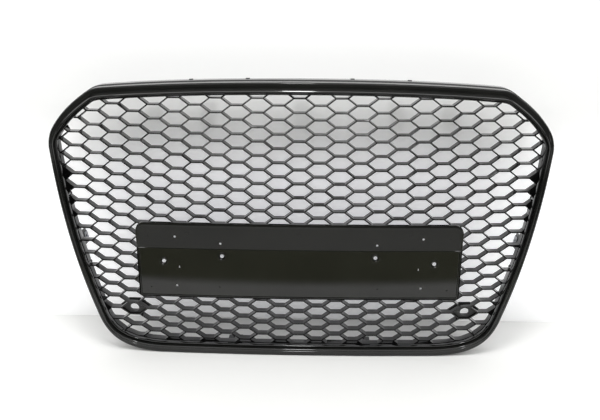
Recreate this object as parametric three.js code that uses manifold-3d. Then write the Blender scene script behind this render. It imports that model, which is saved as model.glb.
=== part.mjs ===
// Front grille of a mid-size saloon: a gloss surround frame, a curved honeycomb insert screwed into it
// from behind, a number-plate carrier over a window in the honeycomb, two parking-sensor holders, and
// the screws and spring clips that hold them. Millimetres, +Z up, the grille faces -Y, and X = 0 is its
// plane of symmetry.
//
// The pieces are laid out from a datum point at the crown of the honeycomb. Across the grille is x, up
// is z, and depth is measured from the curved middle surface of the honeycomb, less being nearer the
// front. At the end the whole group moves so that the origin lies on the middle upper fixing tab.
import * as THREE from 'three';
import Module from 'manifold-3d';
import { mergeVertices, mergeGeometries } from 'three/addons/utils/BufferGeometryUtils.js';

const wasm = await Module();
wasm.setup();

// ---- Driving dimensions ------------------------------------------------------------------------------

// Honeycomb cells: columns across, rows down, and how the columns draw together towards the bottom.
const COLUMN_PITCH = 34.7;
const ROW_PITCH = 23.3;
const COLUMN_TAPER = 1.81e-4;
const CELL_POINT = 0.728;
const WEB_THICKNESS = 2.4;
const LAST_COLUMN = 13;
const FIRST_ROW = -8;
const LAST_ROW = 34;

// The curved middle surface: bowed in plan, leaning back at the crown and bellied down its height.
const PLAN_BOW = 0.9e-4;
const LEAN = 0.2126;
const PROFILE_BOW = 4.7e-4;

// Depths from the middle surface.
const LATTICE_FRONT = -7;
const LATTICE_BACK = 7;
const LIP_BACK = -20;
const FLANGE_BACK = 12;

// The longest edge that a flat piece keeps when it is bowed onto the surface.
const LONGEST_EDGE = 160;

// Half of the frame's outer edge, from the middle of the top round to the middle of the bottom.
const TOP_MIDDLE = [0, 86.6];
const TOP_CURVE = [[200, 86.6], [331.5, 75.4]];
const SHOULDER_CURVE = [[346.8, 73.9], [359, 63.8]];
const CHEEK_CURVE = [[392.8, 40], [410, 10.8]];
const ELBOW_CURVE = [[418.8, -3.6], [417.4, -20.5]];
const SIDE_CURVE = [[394.4, -176.6], [355, -309]];
const CHIN_CURVE = [[342, -361], [318, -391.5], [235, -392]];
const BOTTOM_MIDDLE = [0, -392.4];
const OUTLINE_STEPS = { top: 7, shoulder: 3, cheek: 3, elbow: 3, side: 7, chin: 6, bottom: 4 };

// Frame section: how wide its front band is, and the walls behind it.
const BAND_SIDE = 9.5;
const BAND_TOP_EXTRA = 8.6;
const BAND_BOTTOM_EXTRA = 4.5;
const FRAME_WALL = 2.5;
const LIP_WALL = 2.6;
const BAND_FRONT = -31.5;
const TOP_STEP = 1.8;

// The ledge inside the frame's lip, and the groove between the two.
const LEDGE = { groove: 1, reach: 3, floor: -24, front: -25.5 };

// The rim of the honeycomb insert runs out behind the frame's lip. It is measured inwards from the
// inner edge of the band, and notched where the frame's bosses pass it.
const RIM_OUTER = -2.6;
const RIM_INNER = -0.8;
const NOTCH_RADIUS = 3.9;

// Number-plate carrier and the window behind it.
const CARRIER_HALF_WIDTH = 279;
const CARRIER_TOP = -147;
const CARRIER_BOTTOM = -284;
const CARRIER_TOP_RADIUS = 15;
const CARRIER_BOTTOM_RADIUS = 7;
const CARRIER_FRONT_Y = -41.3;
const CARRIER_WALL = 3;
const CARRIER_BEVEL = 6;
const CARRIER_BACK_Y = -31.6;
const CREASE_Z = -187;
const CREASE_TILT = 2.2;
const CARRIER_EDGE = { chamfer: 1.6, sideDepth: 5, hollow: 2.5, hollowDepth: 6, rim: 1 };
const WINDOW_INSET = { side: 4, top: 9, bottom: 4, bottomRadius: 4, topRadius: 8 };
const WINDOW_WALL = 2.4;

// What the carrier holds and is held by: places are x and z on its right half.
const PLATE_SEATS = [[131, -205], [232, -216]];
const SEAT = { radius: 8.5, rise: 0.6, sinkFront: 5.7, sinkBack: 3.2, sinkDepth: 3, sides: 10 };
const THROUGH_HOLES = [[133, -182], [211, -171], [211, -261]];
const BLIND_HOLES = [[256, -170], [256, -264], [136, -261], [0, -208]];
const SMALL_HOLE = { radius: 1.7, sides: 6, depth: 1.8 };
const CARRIER_SCREWS = [[190, -166], [0, -270], [190, -270], [0, -166]];
const CARRIER_BOSS = { radius: 4, back: -24.3 };
const CARRIER_LUG = { width: 14, height: 17, overlap: 5, front: -24, thickness: 2.6 };

// Fasteners.
const SCREW = { shank: 1.75, head: 3.4, headHeight: 2.5, length: 14, sides: 8 };
const CLEARANCE = 0.3;
const BOSS_RADIUS = 3;
const BOSS_INSET = 6.4;
const BOSS_FRONT = -29.5;
const BOSS_BACK = 2;
const BOSS_SIDES = 8;
const HOLE_DEPTH = 12;
const HOLE_RADIUS = 2.1;
const HOLE_SIDES = 6;
const LUG = { width: 10, thickness: 2.6, edge: 3.7, bite: 1.4 };
const FRAME_SCREWS = [[97, 84], [303, 76], [403, 16], [403, -95], [373, -230], [326, -362], [188, -391]];

// Fixing tabs on the back edge of the frame's flange, and the spring clips on them.
const TAB = { width: 26, reach: 22, overlap: 6, thickness: 3, drop: 2, hole: 4, holeFromEnd: 8 };
const TABS = [[0, 84.3], [149, 83], [246, 79], [385, -185], [94, -392]];
const TAB_HOLE_SIDES = 8;
const CLIP = { width: 15, reach: 15, sheet: 0.9, hole: 2.6 };
const CLIPPED_TABS = 4;
const ORIGIN_FROM_CLIP_END = 3.5;
const HOOK = { width: 7, depth: 3, rise: 1.5, x: [-183, -87.5, 87.5, 183] };

// Parking-sensor holders: the cell each one fills, and its socket.
const SENSOR = { column: 9, row: 27, hole: 8, plateFront: -3, plateBack: 2, flange: 1.8, rim: 5 };
const PRONG = { gap: 5.5, thickness: 2.4, length: 15, height: 9, hook: 4, root: 5 };

// ---- Materials ---------------------------------------------------------------------------------------

function finish(name, color, roughness, metalness) {
  return new THREE.MeshStandardMaterial({ name, color, roughness, metalness });
}

const finishes = {
  gloss: () => finish('gloss_black_abs', 0x0b0b0c, 0.12, 0),
  mesh: () => finish('satin_gloss_black_abs', 0x0d0d0e, 0.2, 0),
  plate: () => finish('gloss_black_carrier', 0x0c0c0a, 0.1, 0),
  nylon: () => finish('black_nylon', 0x141414, 0.5, 0),
  zinc: () => finish('black_zinc_screw', 0x2a2a2c, 0.4, 0.9),
  spring: () => finish('spring_steel', 0x6f7276, 0.35, 1),
};

// ---- Surface and outline -----------------------------------------------------------------------------

function planBow(x) {
  return PLAN_BOW * x * x;
}

function surfaceY(x, z) {
  return planBow(x) + LEAN * z + PROFILE_BOW * z * z;
}

function quadratic(start, [control, end]) {
  return new THREE.QuadraticBezierCurve(
    new THREE.Vector2(...start),
    new THREE.Vector2(...control),
    new THREE.Vector2(...end),
  );
}

function cubic(start, [first, second, end]) {
  return new THREE.CubicBezierCurve(
    new THREE.Vector2(...start),
    new THREE.Vector2(...first),
    new THREE.Vector2(...second),
    new THREE.Vector2(...end),
  );
}

/** Points of the frame's outer edge, clockwise from the middle of the top, seen from the front. */
function outlinePoints() {
  const pieces = [
    [quadratic(TOP_MIDDLE, TOP_CURVE), OUTLINE_STEPS.top],
    [quadratic(TOP_CURVE.at(-1), SHOULDER_CURVE), OUTLINE_STEPS.shoulder],
    [quadratic(SHOULDER_CURVE.at(-1), CHEEK_CURVE), OUTLINE_STEPS.cheek],
    [quadratic(CHEEK_CURVE.at(-1), ELBOW_CURVE), OUTLINE_STEPS.elbow],
    [quadratic(ELBOW_CURVE.at(-1), SIDE_CURVE), OUTLINE_STEPS.side],
    [cubic(SIDE_CURVE.at(-1), CHIN_CURVE), OUTLINE_STEPS.chin],
    [new THREE.LineCurve(new THREE.Vector2(...CHIN_CURVE.at(-1)), new THREE.Vector2(...BOTTOM_MIDDLE)),
      OUTLINE_STEPS.bottom],
  ];
  const half = pieces.flatMap(([curve, steps]) => curve.getPoints(steps).slice(0, -1));
  half.push(new THREE.Vector2(...BOTTOM_MIDDLE));
  const mirrored = half.slice(1, -1).reverse().map((p) => new THREE.Vector2(-p.x, p.y));
  return [...half, ...mirrored];
}

/** The width of the frame's front band where its edge faces this way. */
function bandWidth(outward) {
  const up = Math.max(0, outward.y);
  const down = Math.max(0, -outward.y);
  return BAND_SIDE + BAND_TOP_EXTRA * up ** 1.3 + BAND_BOTTOM_EXTRA * down ** 3;
}

/** Stations round the outer edge: the point, the way out of the ring, and the band's width there. */
function outlineStations() {
  const points = outlinePoints();
  return points.map((point, index) => {
    const before = points.at(index - 1);
    const after = points[(index + 1) % points.length];
    const along = after.clone().sub(before).normalize();
    const outward = new THREE.Vector2(-along.y, along.x);
    return { point, outward, band: bandWidth(outward) };
  });
}

const stations = outlineStations();

/** The outline drawn in from the frame's outer edge by the band's width and a margin. */
function insetOutline(margin) {
  return stations.map(({ point, outward, band }) => point.clone().addScaledVector(outward, -(band + margin)));
}

/** The station whose edge point is nearest to a place on the outline. */
function stationNear(x, z) {
  const target = new THREE.Vector2(x, z);
  return stations.reduce((best, next) =>
    (next.point.distanceTo(target) < best.point.distanceTo(target) ? next : best));
}

// ---- Geometry helpers --------------------------------------------------------------------------------

function bare(geometry) {
  const copy = geometry.clone();
  copy.deleteAttribute('normal');
  copy.deleteAttribute('uv');
  return mergeVertices(copy, 1e-4);
}

/** A geometry as a closed body; a shape that carries normals still has corners to merge. */
function solid(geometry) {
  const merged = geometry.attributes.normal ? bare(geometry) : geometry;
  return new wasm.Manifold(new wasm.Mesh({
    numProp: 3,
    vertProperties: new Float32Array(merged.attributes.position.array),
    triVerts: new Uint32Array(merged.index.array),
  }));
}

function geometryOf(body) {
  const mesh = body.getMesh();
  const geometry = new THREE.BufferGeometry();
  geometry.setAttribute('position', new THREE.Float32BufferAttribute(mesh.vertProperties, 3));
  geometry.setIndex(new THREE.Uint32BufferAttribute(mesh.triVerts, 1));
  return geometry;
}

function join(first, ...others) {
  return others.reduce((sum, next) => sum.add(next), first);
}

function cut(first, ...others) {
  return others.reduce((rest, next) => rest.subtract(next), first);
}

/** A shape drawn in x and z, standing between two depths along Y. */
function prism(points, yFront, yBack) {
  const shape = new THREE.Shape(points);
  const geometry = new THREE.ExtrudeGeometry(shape, { depth: yBack - yFront, bevelEnabled: false });
  geometry.rotateX(Math.PI / 2);
  geometry.translate(0, yBack, 0);
  return geometry;
}

function block(width, depth, height, x, y, z) {
  const geometry = new THREE.BoxGeometry(width, depth, height);
  geometry.translate(x, y, z);
  return geometry;
}

/** A round solid about an axis along Y. */
function drum(radiusFront, radiusBack, x, z, yFront, yBack, sides) {
  const geometry = new THREE.CylinderGeometry(radiusBack, radiusFront, yBack - yFront, sides);
  geometry.translate(x, (yFront + yBack) / 2, z);
  return geometry;
}

/** Halves every edge longer than the limit until none is left, so that a flat piece can be bowed. */
function splitLongEdges(geometry, limit) {
  const places = Array.from(geometry.attributes.position.array);
  const corner = (index) => new THREE.Vector3().fromArray(places, 3 * index);
  const middles = new Map();
  const middle = (a, b) => {
    const key = a < b ? `${a}_${b}` : `${b}_${a}`;
    if (corner(a).distanceTo(corner(b)) > limit && !middles.has(key)) {
      middles.set(key, places.length / 3);
      places.push(...corner(a).lerp(corner(b), 0.5).toArray());
    }
    return middles.get(key);
  };
  let faces = Array.from(geometry.index.array);
  let split = true;
  while (split) {
    const next = [];
    for (let f = 0; f < faces.length; f += 3) {
      const [a, b, c] = faces.slice(f, f + 3);
      const ring = [a, middle(a, b), b, middle(b, c), c, middle(c, a)].filter((v) => v !== undefined);
      const start = Math.max(0, ring.findIndex((v) => ![a, b, c].includes(v)));
      const turned = [...ring.slice(start), ...ring.slice(0, start)];
      for (let k = 1; k < turned.length - 1; k += 1) {
        next.push(turned[0], turned[k], turned[k + 1]);
      }
    }
    split = next.length > faces.length;
    faces = next;
  }
  const result = new THREE.BufferGeometry();
  result.setAttribute('position', new THREE.Float32BufferAttribute(places, 3));
  result.setIndex(faces);
  return result;
}

/** Moves every point back by the depth that a function gives for its place. */
function bow(geometry, depthAt) {
  const { position } = geometry.attributes;
  for (let v = 0; v < position.count; v += 1) {
    position.setY(v, position.getY(v) + depthAt(position.getX(v), position.getZ(v)));
  }
  return geometry;
}

/** A closed ring swept round the stations: the section gives its inward distance and depth. */
function sweptRing(sectionAt) {
  const places = [];
  const faces = [];
  const count = stations.length;
  const size = sectionAt(stations[0]).length;
  stations.forEach((station, index) => {
    const { point, outward } = station;
    const datum = surfaceY(point.x, point.y);
    for (const [inward, depth] of sectionAt(station)) {
      places.push(point.x - outward.x * inward, datum + depth, point.y - outward.y * inward);
    }
    for (let k = 0; k < size; k += 1) {
      const here = index * size + k;
      const beside = index * size + ((k + 1) % size);
      const ahead = ((index + 1) % count) * size + k;
      const across = ((index + 1) % count) * size + ((k + 1) % size);
      faces.push(here, beside, across, here, across, ahead);
    }
  });
  const geometry = new THREE.BufferGeometry();
  geometry.setAttribute('position', new THREE.Float32BufferAttribute(places, 3));
  geometry.setIndex(faces);
  return geometry;
}

/** A closed loop of points brought in by a distance, each corner to where its two sides meet. */
function insetPolygon(points, distance) {
  const area = THREE.ShapeUtils.area(points);
  return points.map((point, index) => {
    const into = point.clone().sub(points.at(index - 1)).normalize();
    const out = points[(index + 1) % points.length].clone().sub(point).normalize();
    const side = Math.sign(area);
    const first = new THREE.Vector2(-into.y, into.x).multiplyScalar(side);
    const second = new THREE.Vector2(-out.y, out.x).multiplyScalar(side);
    const middle = first.clone().add(second);
    return point.clone().addScaledVector(middle, (2 * distance) / middle.lengthSq());
  });
}

/** A rectangle with its own corner radius at the top and at the bottom, as points. */
function roundedRectangle(halfWidth, bottom, top, bottomRadius, topRadius) {
  const corners = [
    [halfWidth - topRadius, top - topRadius, topRadius, 0],
    [topRadius - halfWidth, top - topRadius, topRadius, 1],
    [bottomRadius - halfWidth, bottom + bottomRadius, bottomRadius, 2],
    [halfWidth - bottomRadius, bottom + bottomRadius, bottomRadius, 3],
  ];
  const arcSteps = 3;
  return corners.flatMap(([x, z, radius, quarter]) => Array.from({ length: arcSteps + 1 }, (_, step) => {
    const angle = (quarter + step / arcSteps) * (Math.PI / 2);
    return new THREE.Vector2(x + radius * Math.cos(angle), z + radius * Math.sin(angle));
  }));
}

/** A solid through outlines of equal length, each with its own inset from a loop and its own depth. */
function stacked(layers) {
  const size = layers[0].points.length;
  const places = layers.flatMap(({ points, depth }) => points.flatMap((p) => [p.x, depth, p.y]));
  const faces = [];
  for (let layer = 0; layer < layers.length - 1; layer += 1) {
    for (let k = 0; k < size; k += 1) {
      const here = layer * size + k;
      const beside = layer * size + ((k + 1) % size);
      faces.push(here, beside + size, beside, here, here + size, beside + size);
    }
  }
  const last = (layers.length - 1) * size;
  for (const [a, b, c] of THREE.ShapeUtils.triangulateShape(layers[0].points, [])) {
    faces.push(a, b, c);
  }
  for (const [a, b, c] of THREE.ShapeUtils.triangulateShape(layers.at(-1).points, [])) {
    faces.push(last + a, last + c, last + b);
  }
  const geometry = new THREE.BufferGeometry();
  geometry.setAttribute('position', new THREE.Float32BufferAttribute(places, 3));
  geometry.setIndex(faces);
  return geometry;
}

/** Turns and moves a geometry drawn at the origin to a station, its +X pointing out of the ring. */
function placeAtStation(geometry, station, inward, depth) {
  const { point, outward } = station;
  geometry.rotateY(-Math.atan2(outward.y, outward.x));
  geometry.translate(
    point.x - outward.x * inward,
    surfaceY(point.x, point.y) + depth,
    point.y - outward.y * inward,
  );
  return geometry;
}

// ---- Surround frame ----------------------------------------------------------------------------------

/** Both mirror images of places on the right half, the middle one once. */
function bothSides(places) {
  return places.flatMap(([x, z]) => (x === 0 ? [[x, z]] : [[-x, z], [x, z]]));
}

/** The frame's wall section: return flange, front band, the lip round the opening and its ledge. */
function frameSection({ outward, band }) {
  const step = TOP_STEP * Math.max(0, outward.y) ** 2;
  return [
    [-step, FLANGE_BACK],
    [-step, -8],
    [0, -10],
    [0, -29.2],
    [1.6, -31.1],
    [band - 3, BAND_FRONT],
    [band, -28.5],
    [band, LEDGE.floor],
    [band + LEDGE.groove, LEDGE.floor],
    [band + LEDGE.groove, LEDGE.front],
    [band + LEDGE.reach, LEDGE.front],
    [band + LEDGE.reach, LIP_BACK],
    [band - LIP_WALL, LIP_BACK],
    [band - LIP_WALL, -27.8],
    [FRAME_WALL, -27.4],
    [FRAME_WALL, FLANGE_BACK],
  ];
}

/** A round body on the axis of a frame screw, between two depths. */
function atScrew(station, radius, front, back, sides) {
  return solid(placeAtStation(drum(radius, radius, 0, 0, front, back, sides), station, BOSS_INSET, 0));
}

/** A fixing tab running back from the flange, with the hole that the clip's screw passes. */
function fixingTab(station) {
  const length = TAB.reach + TAB.overlap;
  const depth = FLANGE_BACK + (TAB.reach - TAB.overlap) / 2;
  const plate = placeAtStation(block(TAB.thickness, length, TAB.width, 0, 0, 0), station,
    TAB.drop + TAB.thickness / 2, depth);
  return cut(solid(plate), acrossTab(TAB.hole, station));
}

/** A round cutter through a fixing tab, square to it. */
function acrossTab(radius, station) {
  const cutter = new THREE.CylinderGeometry(radius, radius, 5 * TAB.thickness, TAB_HOLE_SIDES);
  cutter.rotateZ(Math.PI / 2);
  return solid(placeAtStation(cutter, station, TAB.drop + TAB.thickness / 2,
    FLANGE_BACK + TAB.reach - TAB.holeFromEnd));
}

/** A small hook standing up from the back edge of the top flange. */
function locatingHook(x) {
  const { point, outward } = stationNear(x, TOP_MIDDLE[1]);
  const foot = point.y - FRAME_WALL;
  const top = point.y + TOP_STEP * outward.y ** 2 + HOOK.rise;
  const y = surfaceY(point.x, point.y) + FLANGE_BACK - HOOK.depth;
  return solid(block(HOOK.width, HOOK.depth, top - foot, x, y, (top + foot) / 2));
}

function surroundFrame() {
  const screwStations = bothSides(FRAME_SCREWS).map(([x, z]) => stationNear(x, z));
  const ring = solid(sweptRing(frameSection));
  const bosses = screwStations.map((station) =>
    atScrew(station, BOSS_RADIUS, BOSS_FRONT, BOSS_BACK, BOSS_SIDES));
  const holes = screwStations.map((station) =>
    atScrew(station, HOLE_RADIUS, BOSS_BACK - HOLE_DEPTH, BOSS_BACK + 1, HOLE_SIDES));
  const tabs = bothSides(TABS).map(([x, z]) => fixingTab(stationNear(x, z)));
  const hooks = HOOK.x.map(locatingHook);
  return cut(join(ring, ...bosses, ...tabs, ...hooks), ...holes);
}

// ---- Honeycomb insert --------------------------------------------------------------------------------

/** A point of the cell pattern: columns may be fractions of a pitch, and rows count half pitches down. */
function patternPoint(column, row) {
  const z = -row * ROW_PITCH / 2;
  return new THREE.Vector2(COLUMN_PITCH * column * (1 + COLUMN_TAPER * z), z);
}

/** The clear opening of one cell, anticlockwise from its right-hand point. */
function cellOpening(column, row, margin = 0) {
  const shoulder = 1 - CELL_POINT;
  const corners = [
    patternPoint(column + CELL_POINT, row),
    patternPoint(column + shoulder, row - 1),
    patternPoint(column - shoulder, row - 1),
    patternPoint(column - CELL_POINT, row),
    patternPoint(column - shoulder, row + 1),
    patternPoint(column + shoulder, row + 1),
  ];
  return insetPolygon(corners, WEB_THICKNESS / 2 + margin);
}

/** How many of the points lie inside a convex loop. */
function countInside(points, loop) {
  const turn = Math.sign(THREE.ShapeUtils.area(loop));
  return points.filter((p) => loop.every((a, k) => {
    const b = loop[(k + 1) % loop.length];
    return turn * ((b.x - a.x) * (p.y - a.y) - (b.y - a.y) * (p.x - a.x)) > 0;
  })).length;
}

function windowOutline(margin) {
  return roundedRectangle(
    CARRIER_HALF_WIDTH - WINDOW_INSET.side - margin,
    CARRIER_BOTTOM + WINDOW_INSET.bottom + margin,
    CARRIER_TOP - WINDOW_INSET.top - margin,
    WINDOW_INSET.bottomRadius,
    WINDOW_INSET.topRadius,
  );
}

/** The openings of all cells that show two corners inside the rim and one outside the window. */
function cellOpenings(field, window) {
  const openings = [];
  for (let column = -LAST_COLUMN; column <= LAST_COLUMN; column += 1) {
    for (let row = FIRST_ROW; row <= LAST_ROW; row += 1) {
      const opening = cellOpening(column, row);
      const shows = countInside(opening, field) >= 2 && countInside(opening, window) <= 4;
      if ((column + row) % 2 === 0 && shows) openings.push(opening);
    }
  }
  return openings;
}

/** A lug reaching out from the insert's rim to a boss of the frame. */
function rimLug(station) {
  const length = station.band + RIM_OUTER + LUG.bite - LUG.edge;
  const front = BOSS_BACK + CLEARANCE;
  const plate = placeAtStation(block(length, LUG.thickness, LUG.width, 0, 0, 0), station,
    LUG.edge + length / 2, front + LUG.thickness / 2);
  return cut(solid(plate), atScrew(station, HOLE_RADIUS, front - 1, front + LUG.thickness + 1, HOLE_SIDES));
}

/** A lug reaching into the window from its wall, behind a boss of the carrier. */
function windowLug([x, z]) {
  const toWall = z > (CARRIER_TOP + CARRIER_BOTTOM) / 2 ? 1 : -1;
  const y = CARRIER_LUG.front + planBow(x);
  const plate = block(CARRIER_LUG.width, CARRIER_LUG.thickness, CARRIER_LUG.height,
    x, y + CARRIER_LUG.thickness / 2, z + toWall * (CARRIER_LUG.height / 2 - CARRIER_LUG.overlap));
  const hole = drum(HOLE_RADIUS, HOLE_RADIUS, x, z, y - 1, y + CARRIER_LUG.thickness + 1, HOLE_SIDES);
  return cut(solid(plate), solid(hole));
}

/** The whole insert, cut flat and then bowed: webs, rim, window wall and both kinds of lug. */
function honeycombInsert() {
  const field = insetOutline(RIM_INNER);
  const windowWall = windowOutline(0);
  const window = windowOutline(WINDOW_WALL);
  const deep = [LATTICE_FRONT - 5, LATTICE_BACK + 5];
  const cells = cellOpenings(field, windowWall).map((opening) => bare(prism(opening, ...deep)));
  const openings = cut(solid(mergeGeometries(cells)).intersect(solid(prism(field, ...deep))),
    solid(prism(windowWall, ...deep)));
  const sheet = solid(prism(insetOutline(RIM_OUTER), LATTICE_FRONT, LATTICE_BACK));
  const flat = cut(sheet, openings, solid(prism(window, ...deep)));
  const curved = solid(bow(splitLongEdges(geometryOf(flat), LONGEST_EDGE), surfaceY));
  const screwStations = bothSides(FRAME_SCREWS).map(([x, z]) => stationNear(x, z));
  const notches = screwStations.map((station) =>
    atScrew(station, NOTCH_RADIUS, LATTICE_FRONT - 3, LATTICE_BACK + 3, BOSS_SIDES));
  return join(
    cut(curved, ...notches),
    ...screwStations.map(rimLug),
    ...bothSides(CARRIER_SCREWS).map(windowLug),
  );
}

// ---- Number-plate carrier ----------------------------------------------------------------------------

/** The carrier's outline brought in by an inset, at its depth. */
function carrierLayer(inset, depth) {
  const outline = roundedRectangle(CARRIER_HALF_WIDTH, CARRIER_BOTTOM, CARRIER_TOP,
    CARRIER_BOTTOM_RADIUS, CARRIER_TOP_RADIUS);
  return { points: inset > 0 ? insetPolygon(outline, inset) : outline, depth };
}

/** The half-space in front of the carrier's upper zone, which leans back from the crease. */
function creaseCutter() {
  const lean = Math.atan2(CREASE_TILT, CARRIER_TOP - CREASE_Z);
  const cutter = block(3 * CARRIER_HALF_WIDTH, 10, 80, 0, -5, 40);
  cutter.rotateX(-lean);
  cutter.translate(0, CARRIER_FRONT_Y, CREASE_Z);
  return cutter;
}

/** The raised ring that the number plate rests on. */
function plateSeat([x, z]) {
  const front = CARRIER_FRONT_Y - SEAT.rise + planBow(x);
  const back = CARRIER_FRONT_Y + CARRIER_WALL / 2 + planBow(x);
  return solid(drum(SEAT.radius, SEAT.radius, x, z, front, back, SEAT.sides));
}

/** A countersink and its through hole, as one cutter. */
function seatCutter([x, z]) {
  const front = CARRIER_FRONT_Y - SEAT.rise + planBow(x);
  const sink = drum(SEAT.sinkFront, SEAT.sinkBack, x, z, front - 0.01, front + SEAT.sinkDepth, SEAT.sides);
  const hole = drum(SEAT.sinkBack, SEAT.sinkBack, x, z, front + 1, front + 2 * CARRIER_WALL, SEAT.sides);
  return join(solid(sink), solid(hole));
}

/** A cutter for a small round hole, from the front. */
function smallHole([x, z], depth) {
  const front = CARRIER_FRONT_Y - 1 + planBow(x);
  return solid(drum(SMALL_HOLE.radius, SMALL_HOLE.radius, x, z, front, front + 1 + depth, SMALL_HOLE.sides));
}

/** The carrier: a shallow bevelled shell, hollow behind, with its seats, holes and bosses. */
function numberPlateCarrier() {
  const { chamfer, sideDepth, hollow, hollowDepth, rim } = CARRIER_EDGE;
  const shell = cut(
    solid(stacked([
      carrierLayer(CARRIER_BEVEL, CARRIER_FRONT_Y),
      carrierLayer(chamfer, CARRIER_FRONT_Y + chamfer),
      carrierLayer(0, CARRIER_FRONT_Y + sideDepth),
      carrierLayer(0, CARRIER_BACK_Y),
    ])),
    solid(creaseCutter()),
    solid(stacked([
      carrierLayer(CARRIER_BEVEL + CLEARANCE, CARRIER_FRONT_Y + CARRIER_WALL),
      carrierLayer(hollow, CARRIER_FRONT_Y + hollowDepth),
      carrierLayer(hollow, CARRIER_BACK_Y + rim),
    ])),
  );
  const curved = solid(bow(splitLongEdges(geometryOf(shell), LONGEST_EDGE), planBow));
  const screws = bothSides(CARRIER_SCREWS);
  const bosses = screws.map(([x, z]) => solid(drum(CARRIER_BOSS.radius, CARRIER_BOSS.radius, x, z,
    CARRIER_FRONT_Y + CARRIER_WALL / 2 + planBow(x), CARRIER_BOSS.back + planBow(x), BOSS_SIDES)));
  const bossHoles = screws.map(([x, z]) => solid(drum(HOLE_RADIUS, HOLE_RADIUS, x, z,
    CARRIER_BOSS.back - HOLE_DEPTH + planBow(x), CARRIER_BOSS.back + 1 + planBow(x), HOLE_SIDES)));
  const body = join(curved, ...bosses, ...bothSides(PLATE_SEATS).map(plateSeat));
  return cut(
    body,
    ...bossHoles,
    ...bothSides(PLATE_SEATS).map(seatCutter),
    ...bothSides(THROUGH_HOLES).map((place) => smallHole(place, 3 * CARRIER_WALL)),
    ...bothSides(BLIND_HOLES).map((place) => smallHole(place, SMALL_HOLE.depth)),
  );
}

// ---- Parking-sensor holders --------------------------------------------------------------------------

/** A plug that fills one cell from behind, with a round socket and two prongs that grip the sensor. */
function sensorHolder(side) {
  const column = side * SENSOR.column;
  const centre = patternPoint(column, SENSOR.row);
  const plug = cellOpening(column, SENSOR.row, CLEARANCE + 0.1);
  const rimFront = LATTICE_BACK + CLEARANCE;
  const rimBack = rimFront + SENSOR.flange;
  const body = join(
    solid(prism(plug, SENSOR.plateFront, rimFront + 0.5)),
    solid(prism(insetPolygon(plug, -SENSOR.rim), rimFront, rimBack)),
  );
  const pocket = solid(prism(insetPolygon(plug, SENSOR.flange), SENSOR.plateBack, rimBack + 1));
  const { gap, thickness, length, height, hook, root } = PRONG;
  const prongs = [-1, 1].map((end) => {
    const x = centre.x + end * (SENSOR.hole + gap);
    const hookX = x - end * (hook - thickness) / 2;
    const middle = rimBack + root;
    return join(
      solid(block(thickness, length, height, x, middle, centre.y)),
      solid(block(hook, thickness, height, hookX, middle + (length - thickness) / 2, centre.y)),
      solid(block(thickness, SENSOR.flange, ROW_PITCH - 1, x, rimBack - SENSOR.flange / 2, centre.y)),
    );
  });
  const socket = solid(drum(SENSOR.hole, SENSOR.hole, centre.x, centre.y,
    SENSOR.plateFront - 1, SENSOR.plateBack + 1, 16));
  const flat = join(cut(body, pocket, socket), ...prongs);
  return solid(bow(geometryOf(flat), surfaceY));
}

// ---- Fasteners ---------------------------------------------------------------------------------------

/** A pan-head self-tapping screw driven in from behind, its seat at the origin, pointing to the front. */
function tappingScrew() {
  const { shank, head, headHeight, length, sides } = SCREW;
  const profile = [
    [0, -length],
    [shank, -length + 3],
    [shank, 0],
    [head, 0],
    [head, headHeight / 2],
    [head * 0.7, headHeight],
    [0, headHeight],
  ].map(([radius, y]) => new THREE.Vector2(radius, y));
  return bare(new THREE.LatheGeometry(profile, sides));
}

/** A U-shaped sheet-steel clip round the end of a fixing tab, drilled through both legs. */
function springClip(station) {
  const { width, reach, sheet } = CLIP;
  const end = FLANGE_BACK + TAB.reach + CLEARANCE;
  const inside = TAB.thickness + 2 * CLEARANCE;
  const inward = TAB.drop + TAB.thickness / 2;
  const outer = placeAtStation(block(inside + 2 * sheet, reach, width, 0, 0, 0), station, inward,
    end + sheet - reach / 2);
  const inner = placeAtStation(block(inside, reach, width + 2, 0, 0, 0), station, inward, end - reach / 2);
  return cut(solid(outer), solid(inner), acrossTab(CLIP.hole, station));
}

// ---- Assembly ----------------------------------------------------------------------------------------

const grille = new THREE.Group();

function addPiece(name, geometry, material) {
  const mesh = new THREE.Mesh(geometry, material);
  mesh.name = name;
  grille.add(mesh);
  return mesh;
}

addPiece('surround_frame', geometryOf(surroundFrame()), finishes.gloss());
addPiece('honeycomb_insert', geometryOf(honeycombInsert()), finishes.mesh());
addPiece('number_plate_carrier', geometryOf(numberPlateCarrier()), finishes.plate());
addPiece('parking_sensor_holder_left', geometryOf(sensorHolder(-1)), finishes.nylon());
addPiece('parking_sensor_holder_right', geometryOf(sensorHolder(1)), finishes.nylon());

bothSides(FRAME_SCREWS).forEach(([x, z], index) => {
  const { point, outward } = stationNear(x, z);
  const place = point.clone().addScaledVector(outward, -BOSS_INSET);
  const seat = BOSS_BACK + LUG.thickness + 2 * CLEARANCE;
  const screw = addPiece(`frame_screw_${index + 1}`, tappingScrew(), finishes.zinc());
  screw.position.set(place.x, surfaceY(point.x, point.y) + seat, place.y);
});

bothSides(CARRIER_SCREWS).forEach(([x, z], index) => {
  const screw = addPiece(`carrier_screw_${index + 1}`, tappingScrew(), finishes.zinc());
  screw.position.set(x, CARRIER_LUG.front + CARRIER_LUG.thickness + CLEARANCE + planBow(x), z);
});

bothSides(TABS.slice(0, CLIPPED_TABS)).forEach(([x, z], index) => {
  addPiece(`spring_clip_${index + 1}`, geometryOf(springClip(stationNear(x, z))), finishes.spring());
});

// The origin: on the outer face of the middle spring clip, just ahead of its closed end.
const [middleX, middleZ] = TOP_MIDDLE;
const clipEnd = FLANGE_BACK + TAB.reach + CLEARANCE + CLIP.sheet;
grille.position.set(
  -middleX,
  -(surfaceY(middleX, middleZ) + clipEnd - ORIGIN_FROM_CLIP_END),
  -(middleZ - TAB.drop + CLEARANCE + CLIP.sheet),
);

export default grille;
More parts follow.
